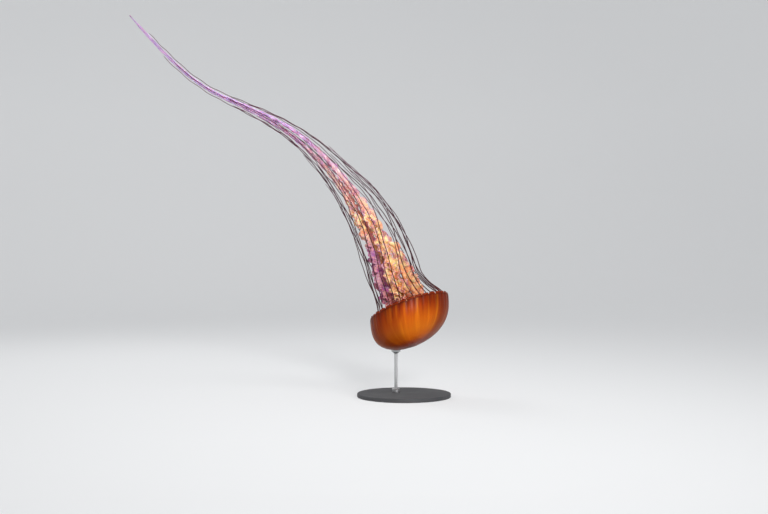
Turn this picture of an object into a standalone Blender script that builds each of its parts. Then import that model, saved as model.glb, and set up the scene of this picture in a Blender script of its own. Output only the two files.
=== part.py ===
"""A sea nettle jellyfish, life size, held still on a plain display stand.

The bell hangs mouth up and leans to the left. Four frilled oral arms leave
the mouth and trail up and away to the left with twenty-four tentacles, which
keep to their own lanes round the arms, so that no strand meets another.

Units are metres, +Z is up, and the origin is the centre of the underside of
the stand's base. The front of the display faces -Y.
"""

import math

import bmesh
import bpy
from mathutils import Matrix, Vector

# Driving dimensions
BELL_RADIUS = 0.150
BELL_DEPTH = 0.142           # from the rim's plane to the apex
BELL_POWER = 3.2             # 2 would be an ellipse, more is fuller
BELL_SKEW = 0.25             # sideways drift of the dome for each metre of depth
WALL_RIM = 0.0045            # thickness of the jelly at the margin
WALL_APEX = 0.026            # and at the apex
MARGIN_DEPTH = 0.008         # from the lappet tips' plane down to the clefts
LAPPET_OVER = 0.001          # how far a lappet passes the rim's plane
LAPPET_EDGE = 0.0022         # thickness of a lappet
LAPPET_INSET = 0.002         # how far the lappets lean in from the bell's widest
FURROW = 0.0012              # depth of the furrow that runs down from each cleft
FURROW_HEIGHT = -0.050       # height at which the furrows fade out
LAPPETS = 32
COLUMNS_PER_LAPPET = 3
OUTER_ROWS = 8
INNER_ROWS = 4

RIM_CENTRE = Vector((0.019, 0.020, 0.3266))
BELL_LEAN = math.radians(-19)        # about Y, rim's right side up
BELL_TIP = math.radians(-15)         # about X, mouth away from the front

TENTACLES = 24
TENTACLE_ROOT_RADIUS = 0.0018
TENTACLE_TIP_RADIUS = 0.0009
TENTACLE_SIDES = (5, 4)              # of the first and the second length
TENTACLE_STEP = 0.083                # spacing of the rings along a tentacle
TENTACLE_BEND = (0.010, 0.030, 0.060)   # closer rings where it curves in from the margin
TENTACLE_CUT = 0.48                  # share of the length in the first piece
LONG_TENTACLE = (1.28, 0.20)         # least length and its spread, of every sixth one
SHORT_TENTACLE = (0.56, 0.50)        # and of the others
TENTACLE_SETTLE = 0.3                # where they have evened out round the train
TENTACLE_SWAY = math.radians(3)      # side to side, with this distance between sways
TENTACLE_SWAY_PITCH = 0.31
TENTACLE_STRAY = (0.05, 0.13)        # least share by which one strays out, and its spread
TENTACLE_STRAY_PITCH = 0.42
TENTACLE_STRAY_START = 0.15

ARMS = 4
ARM_START = -0.070                   # inside the bell, at the mouth
ARM_CUT = 0.50
ARM_END = 1.57
ARM_ANGLE = math.radians(-90)         # direction of the first arm round the mouth
ARM_STEP_NEAR = 0.0195
ARM_STEP_FAR = 0.060
ARM_SPREAD = math.radians(25)        # half the sector that an arm's wings fill
ARM_KEEL = 0.42                      # where the wings meet, as a share of the column
ARM_WANDER = math.radians(7)         # slow swing of an arm round the train
ARM_WANDER_PITCH = 0.52
ARM_MIDDLE = 0.52                    # where a wing bends, as a share of its width
ARM_SWELL = (0.93, 0.07)             # mean width in the column, and its slow change
ARM_SWELL_PITCH = 0.37
RUFFLE_PITCH = 0.064                 # from ruffle to ruffle at the bell
RUFFLE_GROWTH = 0.09                 # its growth for each metre further out
RUFFLE_MIDDLE = (0.45, 0.8)          # a wing's middle: share of the tip's move, and its lead

MOUTH_RADIUS = 0.033
MOUTH_LOBES = 0.10                   # swell towards each arm
MOUTH_LIP = (0.004, 0.002)           # how far down and how far in the lip starts
MOUTH_HOLLOW = 0.007
MOUTH_HOLLOW_DEPTH = 0.005
MANUBRIUM_FOOT = 0.026               # radius against the bell
MANUBRIUM_WAIST = 0.024
MANUBRIUM_WAIST_DEPTH = 0.022        # below the mouth
MANUBRIUM_COLUMNS = 16

BASE_RADIUS = 0.170
BASE_THICKNESS = 0.014
BASE_BEVEL = 0.002
ROD_RADIUS = 0.006
PAD_RADIUS = 0.017
PAD_THICKNESS = 0.005
PAD_NECK = 0.008                     # height of the flare under the pad
COLLAR_RADIUS = 0.014
COLLAR_HEIGHT = 0.012
COLLAR_BEVEL = 0.002
BASE_SIDES = 48
ROD_SIDES = 16

GAP = 0.0003                         # between pieces that touch

# The trailing line of arms and tentacles, after it leaves the bell
TRAIN_COURSE = (
    (-0.030, 0.041, 0.423),
    (-0.062, 0.066, 0.515),
    (-0.102, 0.090, 0.608),
    (-0.159, 0.105, 0.708),
    (-0.233, 0.108, 0.801),
    (-0.308, 0.098, 0.882),
    (-0.391, 0.075, 0.952),
    (-0.491, 0.045, 1.013),
    (-0.597, 0.018, 1.062),
    (-0.692, 0.000, 1.105),
    (-0.776, -0.004, 1.161),
    (-0.858, 0.010, 1.236),
    (-0.938, 0.040, 1.318),
    (-1.024, 0.085, 1.412),
)
COURSE_TURN = math.radians(95)       # slow twist of the whole train
INNER_DRIFT = 0.024                  # sideways shift of the mouth's root

# Radius of the tentacles' shell and of the arms' column, by distance along
# the train from the rim's plane
TENTACLE_SHELL = (
    (-0.012, 0.1385), (0.000, 0.132), (0.035, 0.110), (0.085, 0.094), (0.140, 0.088),
    (0.210, 0.085), (0.310, 0.083), (0.430, 0.073), (0.545, 0.054),
    (0.660, 0.042), (0.775, 0.031), (0.895, 0.022), (1.016, 0.0155),
    (1.120, 0.0120), (1.335, 0.0105), (1.585, 0.0095),
)
ARM_COLUMN = (
    (-0.070, 0.030), (-0.020, 0.056), (0.030, 0.076), (0.110, 0.078),
    (0.200, 0.066), (0.280, 0.051), (0.400, 0.040), (0.500, 0.029),
    (0.620, 0.0245), (0.750, 0.0190), (0.850, 0.0155), (0.950, 0.0115),
    (1.060, 0.0080), (1.150, 0.0068), (1.250, 0.0064), (1.400, 0.0060),
    (1.570, 0.0042),
)
# How far the arms lie to one side in the shell
ARM_ASIDE = ((0.080, 0.0), (0.200, 0.006), (0.280, 0.014), (0.430, 0.016), (0.540, 0.007),
             (0.680, 0.003), (0.800, 0.0))
ARM_THICKNESS = ((-0.070, 0.0036), (0.300, 0.0032), (0.700, 0.0022), (1.520, 0.0012))
ARM_RUFFLE = ((-0.070, 0.002), (0.000, 0.009), (0.250, 0.010), (0.500, 0.005),
              (0.800, 0.0022), (1.060, 0.0008), (1.520, 0.0004))


def lookup(table, s):
    """Smooth value at s of a table of (station, value) pairs."""
    if s <= table[0][0]:
        return table[0][1]
    if s >= table[-1][0]:
        return table[-1][1]
    i = max(k for k in range(len(table) - 1) if table[k][0] <= s)

    def slope(k):
        a = table[max(k - 1, 0)]
        b = table[min(k + 1, len(table) - 1)]
        return (b[1] - a[1]) / (b[0] - a[0])

    (s0, v0), (s1, v1) = table[i], table[i + 1]
    span = s1 - s0
    t = (s - s0) / span
    m0 = slope(i) * span
    m1 = slope(i + 1) * span
    return (v0 * (1 + 2 * t) * (1 - t) ** 2 + m0 * t * (1 - t) ** 2
            + v1 * t * t * (3 - 2 * t) + m1 * t * t * (t - 1))


def phase(*keys):
    """A fixed, scattered angle for each set of whole numbers."""
    mix = sum((k + 1) * ratio for k, ratio in zip(keys, (0.61803, 0.41421, 0.73205)))
    return 2 * math.pi * (mix % 1.0)


# ---------------------------------------------------------------- the bell

BELL_FRAME = (Matrix.Translation(RIM_CENTRE) @ Matrix.Rotation(BELL_LEAN, 4, "Y")
              @ Matrix.Rotation(BELL_TIP, 4, "X"))


def bell_point(radius, angle, height):
    """A point of the bell's own frame (height is along the mouth's axis) in the world."""
    x = radius * math.cos(angle) + BELL_SKEW * min(height, 0.0)
    return BELL_FRAME @ Vector((x, radius * math.sin(angle), height))


def dome(angle_up, radius, depth):
    """Radius and height of the dome's profile, from 0 at the rim to pi/2 at the apex."""
    height = -depth * math.sin(angle_up) ** (2 / BELL_POWER)
    return radius * math.cos(angle_up), height


def dome_angle(depth_share):
    """The profile angle at a share of the dome's depth."""
    return math.asin(depth_share ** (BELL_POWER / 2))


def bell_rings():
    """The bell's section as (radius, height, lappet share) rings, outer apex to inner apex."""
    rings = []
    low = dome_angle(MARGIN_DEPTH / BELL_DEPTH)
    for row in range(1, OUTER_ROWS + 1):
        angle = math.pi / 2 + (low - math.pi / 2) * row / OUTER_ROWS
        radius, height = dome(angle, BELL_RADIUS, BELL_DEPTH)
        rings.append((radius, height, 0.0))
    tip_radius = BELL_RADIUS - LAPPET_INSET
    rings.append((tip_radius, -MARGIN_DEPTH, 1.0))
    rings.append((tip_radius - LAPPET_EDGE, -MARGIN_DEPTH - 0.001, 1.0))
    inner_radius = BELL_RADIUS - WALL_RIM
    inner_depth = BELL_DEPTH - WALL_APEX
    low = dome_angle((MARGIN_DEPTH + 0.004) / inner_depth)
    for row in range(INNER_ROWS):
        angle = low + (math.pi / 2 - low) * (row / INNER_ROWS) ** 0.9
        radius, height = dome(angle, inner_radius, inner_depth)
        rings.append((radius, height, 0.0))
    return rings


def lappet_reach(column):
    """1 along a lappet, 0 in the cleft between two."""
    return 0.0 if column % COLUMNS_PER_LAPPET == 0 else 1.0


def build_bell():
    """The bell as one body: a thick dome, thinner at its scalloped margin."""
    columns = LAPPETS * COLUMNS_PER_LAPPET
    reach = MARGIN_DEPTH + LAPPET_OVER
    mesh = bmesh.new()
    loops = []
    for radius, height, lappet in bell_rings():
        loop = []
        for column in range(columns):
            lift = lappet * reach * lappet_reach(column)
            furrow = FURROW * (1 - lappet_reach(column)) * (height > FURROW_HEIGHT)
            angle = 2 * math.pi * column / columns
            loop.append(mesh.verts.new(bell_point(radius - furrow, angle, height + lift)))
        loops.append(loop)
    outer_apex = mesh.verts.new(bell_point(0, 0, -BELL_DEPTH))
    inner_apex = mesh.verts.new(bell_point(0, 0, -BELL_DEPTH + WALL_APEX))
    for a, b in zip(loops, loops[1:]):
        join_loops(mesh, a, b)
    fan(mesh, loops[0], outer_apex)
    fan(mesh, loops[-1], inner_apex)
    return finish("bell", mesh, JELLY)


# ------------------------------------------------------- mesh making helpers

def join_loops(mesh, a, b):
    count = len(a)
    for k in range(count):
        mesh.faces.new((a[k], a[(k + 1) % count], b[(k + 1) % count], b[k]))


def fan(mesh, loop, centre):
    count = len(loop)
    for k in range(count):
        mesh.faces.new((loop[k], loop[(k + 1) % count], centre))


def join_sheet(mesh, a, b):
    """Join two rings of a thin sheet: half of each is its front, the rest its back.

    Front and back are split along the same diagonals, so that they stay level with
    each other where the sheet is twisted.
    """
    count = len(a)
    for k in range(count):
        after = (k + 1) % count
        if k < count // 2:
            mesh.faces.new((a[k], a[after], b[after]))
            mesh.faces.new((a[k], b[after], b[k]))
        else:
            mesh.faces.new((a[k], a[after], b[k]))
            mesh.faces.new((a[after], b[after], b[k]))


def loft(mesh, sections, join=join_loops):
    """A closed body through rings of points, with flat ends."""
    loops = [[mesh.verts.new(point) for point in ring] for ring in sections]
    for a, b in zip(loops, loops[1:]):
        join(mesh, a, b)
    mesh.faces.new(loops[0])
    mesh.faces.new(loops[-1])


def finish(name, mesh, material):
    """Turn a bmesh into a named object with outward faces and smooth shading."""
    bmesh.ops.recalc_face_normals(mesh, faces=mesh.faces)
    data = bpy.data.meshes.new(name)
    mesh.to_mesh(data)
    mesh.free()
    data.materials.append(material)
    data.shade_smooth()
    data.set_sharp_from_angle(angle=math.radians(50))
    made = bpy.data.objects.new(name, data)
    bpy.context.scene.collection.objects.link(made)
    return made


def make_material(name, colour, roughness, metallic=0.0):
    material = bpy.data.materials.new(name)
    material.use_nodes = True
    shader = material.node_tree.nodes["Principled BSDF"]
    shader.inputs["Base Color"].default_value = (*colour, 1.0)
    shader.inputs["Roughness"].default_value = roughness
    shader.inputs["Metallic"].default_value = metallic
    return material


# --------------------------------------------------------- the train's course

class Train:
    """The line that arms and tentacles follow, with a frame that doesn't twist.

    Stations are distances along it from the rim's plane, and are negative
    inside the bell.
    """

    SAMPLES = 24

    def __init__(self):
        inner = [self.inner_point(height) for height in (-0.14, -0.105, -0.070, -0.035)]
        centre = BELL_FRAME @ Vector((0, 0, 0))
        knots = inner + [centre] + [Vector(point) for point in TRAIN_COURSE]
        self.points = []
        origin_index = (len(inner) - 1) * self.SAMPLES
        for k in range(1, len(knots) - 2):
            for j in range(self.SAMPLES):
                self.points.append(catmull(knots[k - 1:k + 3], j / self.SAMPLES))
        last = knots[-1] + (knots[-1] - knots[-2])
        for j in range(self.SAMPLES + 1):
            self.points.append(catmull(knots[-3:] + [last], j / self.SAMPLES))
        self.measure(origin_index)
        self.carry_frame(origin_index)

    @staticmethod
    def inner_point(height):
        drift = -INNER_DRIFT * (height / (BELL_DEPTH - WALL_APEX)) ** 2
        return BELL_FRAME @ Vector((drift, 0, height))

    def measure(self, origin_index):
        run = [0.0]
        for a, b in zip(self.points, self.points[1:]):
            run.append(run[-1] + (b - a).length)
        self.stations = [r - run[origin_index] for r in run]

    def carry_frame(self, origin_index):
        """Carry the bell's X direction along the line in both directions."""
        count = len(self.points)
        self.tangents = []
        for k in range(count):
            ahead = self.points[min(k + 1, count - 1)]
            behind = self.points[max(k - 1, 0)]
            self.tangents.append((ahead - behind).normalized())
        self.sides = [None] * count
        side = BELL_FRAME.to_3x3() @ Vector((1, 0, 0))
        for k in range(origin_index, count):
            side = square_to(side, self.tangents[k])
            self.sides[k] = side
        side = self.sides[origin_index]
        for k in range(origin_index, -1, -1):
            side = square_to(side, self.tangents[k])
            self.sides[k] = side

    def frame(self, s):
        """Centre, tangent and the two cross directions at station s."""
        stations = self.stations
        low, high = 0, len(stations) - 2
        while low < high:
            middle = (low + high + 1) // 2
            if stations[middle] <= s:
                low = middle
            else:
                high = middle - 1
        share = (s - stations[low]) / (stations[low + 1] - stations[low])
        centre = self.points[low].lerp(self.points[low + 1], share)
        tangent = self.tangents[low].lerp(self.tangents[low + 1], share).normalized()
        side = square_to(self.sides[low].lerp(self.sides[low + 1], share), tangent)
        return centre, tangent, side, tangent.cross(side)

    def place(self, s, radius, angle):
        """The point at a radius and a direction round the line at station s."""
        centre, _, side, other = self.frame(s)
        return centre + side * (radius * math.cos(angle)) + other * (radius * math.sin(angle))


def square_to(side, tangent):
    return (side - tangent * side.dot(tangent)).normalized()


def catmull(knots, t):
    """A point of the Catmull-Rom curve between the second and third knots."""
    a, b, c, d = knots
    return 0.5 * (2 * b + (c - a) * t + (2 * a - 5 * b + 4 * c - d) * t ** 2
                  + (3 * b - a - 3 * c + d) * t ** 3)


def turn(s):
    """The train's slow twist at station s."""
    return COURSE_TURN * max(s, 0.0) / ARM_END


# ---------------------------------------------------------------- tentacles

def tentacle_clefts():
    """Column angles of the clefts that carry a tentacle: three of every four."""
    return [2 * math.pi * k / LAPPETS for k in range(LAPPETS) if k % 4]


def tentacle_length(index):
    """Every sixth tentacle reaches nearly as far as the arms, and the others end sooner."""
    least, spread = LONG_TENTACLE if index % 6 == 1 else SHORT_TENTACLE
    return least + spread * (0.5 + 0.5 * math.sin(phase(index)))


def tentacle_point(train, index, s):
    """The centre of a tentacle at station s, in its own lane of the shell."""
    cleft = tentacle_clefts()[index]
    even = 2 * math.pi * (index + 0.5) / TENTACLES
    settle = min(s / TENTACLE_SETTLE, 1.0)
    sway = TENTACLE_SWAY * math.sin(2 * math.pi * s / TENTACLE_SWAY_PITCH + phase(index, 1))
    angle = cleft + (even - cleft) * settle + turn(s) + sway * settle
    swell = 0.5 - 0.5 * math.cos(2 * math.pi * s / TENTACLE_STRAY_PITCH + phase(index, 2))
    least, spread = TENTACLE_STRAY
    stray = least + spread * (0.5 + 0.5 * math.sin(phase(index, 5)))
    leave = min(s / TENTACLE_STRAY_START, 1.0)
    radius = lookup(TENTACLE_SHELL, s) * (1 + stray * swell * leave)
    return train.place(s, radius, angle)


def tentacle_radius(share):
    return TENTACLE_ROOT_RADIUS + (TENTACLE_TIP_RADIUS - TENTACLE_ROOT_RADIUS) * share


def tube_rings(centres, radii, sides):
    """Rings of points square to a line of centres."""
    rings = []
    side = Vector((0, 1, 0))
    for k, (centre, radius) in enumerate(zip(centres, radii)):
        ahead = centres[min(k + 1, len(centres) - 1)]
        behind = centres[max(k - 1, 0)]
        tangent = (ahead - behind).normalized()
        side = square_to(side, tangent)
        other = tangent.cross(side)
        angles = [2 * math.pi * j / sides for j in range(sides)]
        rings.append([centre + side * (radius * math.cos(a)) + other * (radius * math.sin(a))
                      for a in angles])
    return rings


def stations_between(start, end, step):
    count = max(2, round((end - start) / step))
    return [start + (end - start) * k / count for k in range(count + 1)]


def build_tentacle(train, index):
    """One tentacle in two lengths, parted by a thin cut."""
    length = tentacle_length(index)
    cut = TENTACLE_CUT * length
    root = -MARGIN_DEPTH - 0.001
    lengths = ((root, cut), (cut + GAP, length))
    for number, (start, end) in enumerate(lengths, 1):
        stations = stations_between(start, end, TENTACLE_STEP)
        if number == 1:
            stations[1:2] = TENTACLE_BEND
        centres = [tentacle_point(train, index, s) for s in stations]
        radii = [tentacle_radius(max(s, 0) / length) for s in stations]
        mesh = bmesh.new()
        loft(mesh, tube_rings(centres, radii, TENTACLE_SIDES[number - 1]))
        finish(f"tentacle_{index + 1:02d}_length_{number}", mesh, TENTACLE)


# ---------------------------------------------------------------- oral arms

def arm_section(train, index, s):
    """Eight points round an arm's folded, ruffled section at station s."""
    column = lookup(ARM_COLUMN, s)
    mean, change = ARM_SWELL
    outer = column * (mean + change * math.sin(2 * math.pi * s / ARM_SWELL_PITCH + phase(index, 3)))
    inner = ARM_KEEL * column
    half = 0.5 * lookup(ARM_THICKNESS, s)
    ruffle = lookup(ARM_RUFFLE, s)
    wander = ARM_WANDER * math.sin(2 * math.pi * s / ARM_WANDER_PITCH + phase(index, 6))
    heading = ARM_ANGLE + 2 * math.pi * index / ARMS + turn(s) + wander
    centre, _, side, other = train.frame(s)
    centre = centre - side * lookup(ARM_ASIDE, s)
    out = side * math.cos(heading) + other * math.sin(heading)
    along = other * math.cos(heading) - side * math.sin(heading)

    def wing(hand):
        """Middle and tip of one wing, each moved off its plane by the ruffles."""
        tip = Vector((outer * math.cos(ARM_SPREAD), hand * outer * math.sin(ARM_SPREAD)))
        root = Vector((inner, 0))
        line = (tip - root).normalized()
        normal = Vector((-line.y, line.x)) * hand
        wave = 2 * math.pi * s / (RUFFLE_PITCH + RUFFLE_GROWTH * max(s, 0))
        wave += phase(index, hand + 2)
        share, lead = RUFFLE_MIDDLE
        tip_move = ruffle * math.sin(wave)
        mid_move = share * ruffle * math.sin(wave + lead)
        middle = root.lerp(tip, ARM_MIDDLE) + normal * mid_move
        return middle, tip + normal * tip_move, normal

    left_mid, left_tip, left_normal = wing(-1)
    right_mid, right_tip, right_normal = wing(1)
    fold = Vector((1, 0))
    outline = (
        left_tip,
        left_mid + left_normal * half,
        Vector((inner, 0)) - fold * half * 1.2,
        right_mid + right_normal * half,
        right_tip,
        right_mid - right_normal * half,
        Vector((inner, 0)) + fold * half * 1.2,
        left_mid - left_normal * half,
    )
    return [centre + out * p.x + along * p.y for p in outline]


def build_arm(train, index):
    """One oral arm in two lengths, parted by a thin cut."""
    lengths = ((ARM_START, ARM_CUT, ARM_STEP_NEAR), (ARM_CUT + GAP, ARM_END, ARM_STEP_FAR))
    for number, (start, end, step) in enumerate(lengths, 1):
        mesh = bmesh.new()
        sections = [arm_section(train, index, s) for s in stations_between(start, end, step)]
        loft(mesh, sections, join_sheet)
        finish(f"oral_arm_{index + 1}_length_{number}", mesh, ARM)


# ---------------------------------------------------------------- manubrium

def build_manubrium(train):
    """The short stalk of the mouth, four-lobed, with the mouth's hollow in its top."""
    mesh = bmesh.new()

    def dome_ring(radius):
        inner_radius = BELL_RADIUS - WALL_RIM
        share = (1 - (radius / inner_radius) ** 2) ** (1 / BELL_POWER)
        height = -(BELL_DEPTH - WALL_APEX) * share + 5 * GAP
        angles = [2 * math.pi * k / MANUBRIUM_COLUMNS for k in range(MANUBRIUM_COLUMNS)]
        return [bell_point(radius, a, height) for a in angles]

    def train_ring(s, radius, lobe):
        points = []
        for k in range(MANUBRIUM_COLUMNS):
            angle = 2 * math.pi * k / MANUBRIUM_COLUMNS
            swell = 1 + lobe * math.cos(ARMS * (angle - ARM_ANGLE))
            points.append(train.place(s, radius * swell, angle))
        return points

    top = ARM_START - GAP
    rings = [
        dome_ring(MANUBRIUM_FOOT),
        train_ring(ARM_START - MANUBRIUM_WAIST_DEPTH, MANUBRIUM_WAIST, 0.6 * MOUTH_LOBES),
        train_ring(top - MOUTH_LIP[0], MOUTH_RADIUS - MOUTH_LIP[1], 0.9 * MOUTH_LOBES),
        train_ring(top, MOUTH_RADIUS, MOUTH_LOBES),
        train_ring(top, MOUTH_HOLLOW, 0.0),
        train_ring(top - MOUTH_HOLLOW_DEPTH, MOUTH_HOLLOW * 0.7, 0.0),
    ]
    loft(mesh, rings)
    finish("manubrium", mesh, ARM)


# ---------------------------------------------------------------- the stand

def turned(name, profile, sides, centre, material):
    """A turned body from (radius, height) pairs, bottom to top."""
    mesh = bmesh.new()
    rings = []
    for radius, height in profile:
        angles = [2 * math.pi * k / sides for k in range(sides)]
        rings.append([Vector((centre[0] + radius * math.cos(a),
                              centre[1] + radius * math.sin(a), height)) for a in angles])
    loft(mesh, rings)
    return finish(name, mesh, material)


def build_stand(bell):
    """A round base, and a rod whose pad meets the lowest point of the bell."""
    base = ((BASE_RADIUS - BASE_BEVEL, 0.0), (BASE_RADIUS, BASE_BEVEL),
            (BASE_RADIUS, BASE_THICKNESS - BASE_BEVEL),
            (BASE_RADIUS - BASE_BEVEL, BASE_THICKNESS))
    turned("stand_base", base, BASE_SIDES, (0, 0), PAINT)
    lowest = min((vertex.co for vertex in bell.data.vertices), key=lambda co: co.z)
    foot = BASE_THICKNESS + GAP
    top = lowest.z - GAP
    rod = ((COLLAR_RADIUS, foot), (COLLAR_RADIUS, foot + COLLAR_HEIGHT - COLLAR_BEVEL),
           (COLLAR_RADIUS - COLLAR_BEVEL, foot + COLLAR_HEIGHT),
           (ROD_RADIUS, foot + COLLAR_HEIGHT), (ROD_RADIUS, top - PAD_THICKNESS - PAD_NECK),
           (PAD_RADIUS, top - PAD_THICKNESS), (PAD_RADIUS, top))
    turned("stand_rod", rod, ROD_SIDES, lowest, STEEL)


for old in list(bpy.data.objects):
    bpy.data.objects.remove(old, do_unlink=True)

JELLY = make_material("bell jelly", (0.66, 0.22, 0.03), 0.25)
ARM = make_material("oral arm tissue", (0.85, 0.45, 0.30), 0.45)
TENTACLE = make_material("tentacle", (0.16, 0.03, 0.04), 0.35)
PAINT = make_material("stand paint", (0.04, 0.04, 0.045), 0.5)
STEEL = make_material("stand steel", (0.55, 0.55, 0.56), 0.3, 1.0)

the_train = Train()
the_bell = build_bell()
build_manubrium(the_train)
for arm_index in range(ARMS):
    build_arm(the_train, arm_index)
for tentacle_index in range(TENTACLES):
    build_tentacle(the_train, tentacle_index)
build_stand(the_bell)
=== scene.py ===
"""Looks of the sea nettle jellyfish display model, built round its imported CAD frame.

The animal's form repeats the driving dimensions of its solids: the same bell
profile, trailing line and lanes. Each skin adds the fine surface to them.
Lengths are in metres, and s is the distance along the train from the rim.
"""

import math

import bpy
import numpy as np
from mathutils import Matrix, Vector


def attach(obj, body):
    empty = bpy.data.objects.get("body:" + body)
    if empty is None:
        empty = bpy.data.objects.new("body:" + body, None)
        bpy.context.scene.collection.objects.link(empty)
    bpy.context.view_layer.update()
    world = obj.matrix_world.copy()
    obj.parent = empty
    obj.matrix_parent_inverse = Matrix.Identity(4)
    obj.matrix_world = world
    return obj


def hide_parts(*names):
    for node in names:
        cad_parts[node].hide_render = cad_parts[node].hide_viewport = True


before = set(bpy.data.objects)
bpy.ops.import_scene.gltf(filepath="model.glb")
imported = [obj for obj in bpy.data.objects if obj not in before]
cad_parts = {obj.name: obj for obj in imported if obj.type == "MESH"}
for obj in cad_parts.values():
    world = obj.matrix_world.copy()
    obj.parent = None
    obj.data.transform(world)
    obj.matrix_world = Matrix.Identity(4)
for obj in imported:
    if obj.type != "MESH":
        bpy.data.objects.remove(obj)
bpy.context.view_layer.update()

# ---- driving dimensions

BELL_RADIUS = 0.150
BELL_DEPTH = 0.142  # from the rim's plane to the apex
BELL_POWER = 3.2  # 2 would be an ellipse, more is fuller
BELL_SKEW = 0.25  # sideways drift of the dome for each metre of depth
WALL_RIM = 0.0045  # thickness of the jelly at the margin
WALL_APEX = 0.026  # and at the apex
INNER_DEPTH = BELL_DEPTH - WALL_APEX
MARGIN_DEPTH = 0.008  # from the lappet tips' plane down to the clefts
LAPPET_OVER = 0.001  # how far a lappet passes the rim's plane
LAPPET_EDGE = 0.0022  # thickness of a lappet
LAPPET_INSET = 0.002  # how far the lappets lean in from the bell's widest
LAPPETS = 32
SENSE_ORGANS = 8  # in every fourth cleft; a tentacle grows in each of the others

RIM_CENTRE = Vector((0.019, 0.020, 0.3266))
BELL_LEAN = math.radians(-19)  # about Y, rim's right side up
BELL_TIP = math.radians(-15)  # about X, mouth away from the front
BELL_FRAME = (Matrix.Translation(RIM_CENTRE) @ Matrix.Rotation(BELL_LEAN, 4, "Y")
              @ Matrix.Rotation(BELL_TIP, 4, "X"))

TENTACLES = 24
TENTACLE_ROOT_RADIUS = 0.0018
TENTACLE_TIP_RADIUS = 0.0009
LONG_TENTACLE = (1.28, 0.20)  # least length and its spread, of every sixth one
SHORT_TENTACLE = (0.56, 0.50)  # and of the others
TENTACLE_SWAY = math.radians(3)  # side to side, with this distance between sways
TENTACLE_SWAY_PITCH = 0.31
TENTACLE_STRAY = (0.05, 0.13)  # least share by which one strays out, and its spread
TENTACLE_STRAY_PITCH = 0.42

ARMS = 4
ARM_START = -0.070  # inside the bell, at the mouth
ARM_END = 1.57
ARM_ANGLE = math.radians(-90)  # direction of the first arm round the mouth
ARM_SPREAD = math.radians(25)  # half the sector that an arm's wings fill
ARM_KEEL = 0.42  # where the wings meet, as a share of the column
ARM_WANDER = math.radians(7)  # slow swing of an arm round the train
ARM_WANDER_PITCH = 0.52
ARM_MIDDLE = 0.52  # where a wing bends, as a share of its width
ARM_SWELL = (0.93, 0.07)  # mean width in the column, and its slow change
ARM_SWELL_PITCH = 0.37
RUFFLE_PITCH = 0.064  # from ruffle to ruffle at the bell
RUFFLE_GROWTH = 0.09  # its growth for each metre further out
RUFFLE_LEAD = 0.8  # by which a wing's middle ruffles before its edge

# The train's line, after it leaves the bell
TRAIN_COURSE = (
    (-0.030, 0.041, 0.423), (-0.062, 0.066, 0.515),
    (-0.102, 0.090, 0.608), (-0.159, 0.105, 0.708),
    (-0.233, 0.108, 0.801), (-0.308, 0.098, 0.882),
    (-0.391, 0.075, 0.952), (-0.491, 0.045, 1.013),
    (-0.597, 0.018, 1.062), (-0.692, 0.000, 1.105),
    (-0.776, -0.004, 1.161), (-0.858, 0.010, 1.236),
    (-0.938, 0.040, 1.318), (-1.024, 0.085, 1.412),
)
COURSE_TURN = math.radians(95)  # slow twist of the whole train
INNER_DRIFT = 0.024  # sideways shift of the mouth's root
INNER_HEIGHTS = (-0.14, -0.105, -0.070, -0.035)  # of the line's points inside the bell

# By distance s: the radius of the tentacles' shell and of the arms' column, how
# far the column stands aside, and an arm's thickness and ruffles
TENTACLE_SHELL = (
    (-0.012, 0.1385), (0.000, 0.132), (0.035, 0.110), (0.085, 0.094), (0.140, 0.088),
    (0.210, 0.085), (0.310, 0.083), (0.430, 0.073), (0.545, 0.054),
    (0.660, 0.042), (0.775, 0.031), (0.895, 0.022), (1.016, 0.0155),
    (1.120, 0.0120), (1.335, 0.0105), (1.585, 0.0095),
)
ARM_COLUMN = (
    (-0.070, 0.030), (-0.020, 0.056), (0.030, 0.076), (0.110, 0.078),
    (0.200, 0.066), (0.280, 0.051), (0.400, 0.040), (0.500, 0.029),
    (0.620, 0.0245), (0.750, 0.0190), (0.850, 0.0155), (0.950, 0.0115),
    (1.060, 0.0080), (1.150, 0.0068), (1.250, 0.0064), (1.400, 0.0060),
    (1.570, 0.0042),
)
ARM_ASIDE = ((0.080, 0.0), (0.200, 0.006), (0.280, 0.014), (0.430, 0.016), (0.540, 0.007),
             (0.680, 0.003), (0.800, 0.0))
ARM_THICKNESS = ((-0.070, 0.0036), (0.300, 0.0032), (0.700, 0.0022), (1.520, 0.0012))
ARM_RUFFLE = ((-0.070, 0.002), (0.000, 0.009), (0.250, 0.010), (0.500, 0.005),
              (0.800, 0.0022), (1.060, 0.0008), (1.520, 0.0004))


def lookup(table, s):
    """Smooth values at stations s of a table of (station, value) pairs."""
    keys, values = np.array(table).T
    before = np.append(0, np.arange(len(keys) - 1))
    after = np.append(np.arange(1, len(keys)), len(keys) - 1)
    slopes = (values[after] - values[before]) / (keys[after] - keys[before])
    s = np.clip(np.asarray(s, float), keys[0], keys[-1])
    i = np.clip(np.searchsorted(keys, s, side="right") - 1, 0, len(keys) - 2)
    span = keys[i + 1] - keys[i]
    t = (s - keys[i]) / span
    return (values[i] * (1 + 2 * t) * (1 - t) ** 2 + slopes[i] * span * t * (1 - t) ** 2
            + values[i + 1] * t * t * (3 - 2 * t) + slopes[i + 1] * span * t * t * (t - 1))


def phase(*keys):
    """A fixed, scattered angle for each set of whole numbers."""
    mix = sum((k + 1) * ratio for k, ratio in zip(keys, (0.61803, 0.41421, 0.73205)))
    return 2 * math.pi * (mix % 1.0)


def rise(x, start, end):
    """A smooth step of x: 0 before start and 1 past end, which may lie either way."""
    x = np.clip((x - start) / (end - start), 0.0, 1.0)
    return x * x * (3 - 2 * x)


# ---- points and frames

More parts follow.
